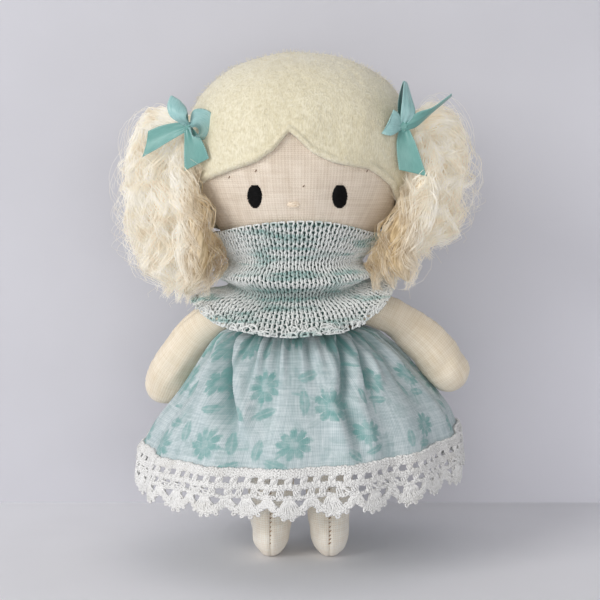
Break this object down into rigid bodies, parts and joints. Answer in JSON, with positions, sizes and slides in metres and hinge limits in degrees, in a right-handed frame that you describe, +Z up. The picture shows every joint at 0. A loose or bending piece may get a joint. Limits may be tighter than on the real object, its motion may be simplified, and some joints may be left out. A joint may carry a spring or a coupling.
{
  "type": "rag doll",
  "caption": "Small stuffed linen doll with a felt hair cap, curly pigtails with satin bows, a knitted cowl and a gathered skirt with a lace hem; head, arms and legs move.",
  "frame": {"origin": "on the floor, below the middle of the doll's bounding box", "axes": "+Z up from the soles to the crown; the doll faces -Y; +X towards the doll's own left hand"},
  "size_m": [0.1027, 0.0842, 0.15],
  "materials": {
    "linen": "natural linen, plain weave",
    "felt": "cream wool felt",
    "stuffing": "wool or polyester filling",
    "mohair": "curly mohair locks, cream",
    "satin": "teal satin ribbon",
    "black_thread": "black embroidery floss",
    "cream_thread": "cream sewing thread",
    "printed_cotton": "aqua cotton with a tone-on-tone floral print",
    "crochet_lace": "white mercerised cotton, crocheted",
    "knit": "marled white and teal cotton stockinette",
    "elastic": "white round elastic"
  },
  "bodies": {
    "torso": {"torso_front_panel": "linen", "torso_back_panel": "linen", "torso_stuffing": "stuffing", "arm_thread": "cream_thread", "skirt": "printed_cotton", "waist_elastic": "elastic", "lace_hem": "crochet_lace", "cowl": "knit"},
    "head": {"face_panel": "linen", "head_back_panel": "linen", "head_stuffing": "stuffing", "hair_cap_front": "felt", "hair_cap_back": "felt", "left_eye": "black_thread", "right_eye": "black_thread", "nose": "cream_thread", "left_pigtail": "mohair", "left_hair_tie": "elastic", "left_bow": "satin", "right_pigtail": "mohair", "right_hair_tie": "elastic", "right_bow": "satin"},
    "left_arm": {"left_arm_front_panel": "linen", "left_arm_back_panel": "linen", "left_arm_stuffing": "stuffing"},
    "left_leg": {"left_leg_inner_panel": "linen", "left_leg_outer_panel": "linen", "left_leg_stuffing": "stuffing"},
    "right_arm": {"right_arm_front_panel": "linen", "right_arm_back_panel": "linen", "right_arm_stuffing": "stuffing"},
    "right_leg": {"right_leg_inner_panel": "linen", "right_leg_outer_panel": "linen", "right_leg_stuffing": "stuffing"}
  },
  "joints": [
    {"name": "head_turn", "type": "hinge", "parent": "torso", "child": "head", "pos_m": [0, 0, 0.082], "axis": [0, 0, 1], "range_deg": [-12, 12]},
    {"name": "left_arm_swing", "type": "hinge", "parent": "torso", "child": "left_arm", "pos_m": [0.02, 0, 0.075], "axis": [-1, 0, 0], "range_deg": [-45, 45]},
    {"name": "right_arm_swing", "type": "hinge", "parent": "torso", "child": "right_arm", "pos_m": [-0.02, 0, 0.075], "axis": [-1, 0, 0], "range_deg": [-26, 0]},
    {"name": "left_leg_swing", "type": "hinge", "parent": "torso", "child": "left_leg", "pos_m": [0.0088, 0, 0.038], "axis": [-1, 0, 0], "range_deg": [-30, 50]},
    {"name": "right_leg_swing", "type": "hinge", "parent": "torso", "child": "right_leg", "pos_m": [-0.0088, 0, 0.038], "axis": [-1, 0, 0], "range_deg": [-30, 50]}
  ]
}
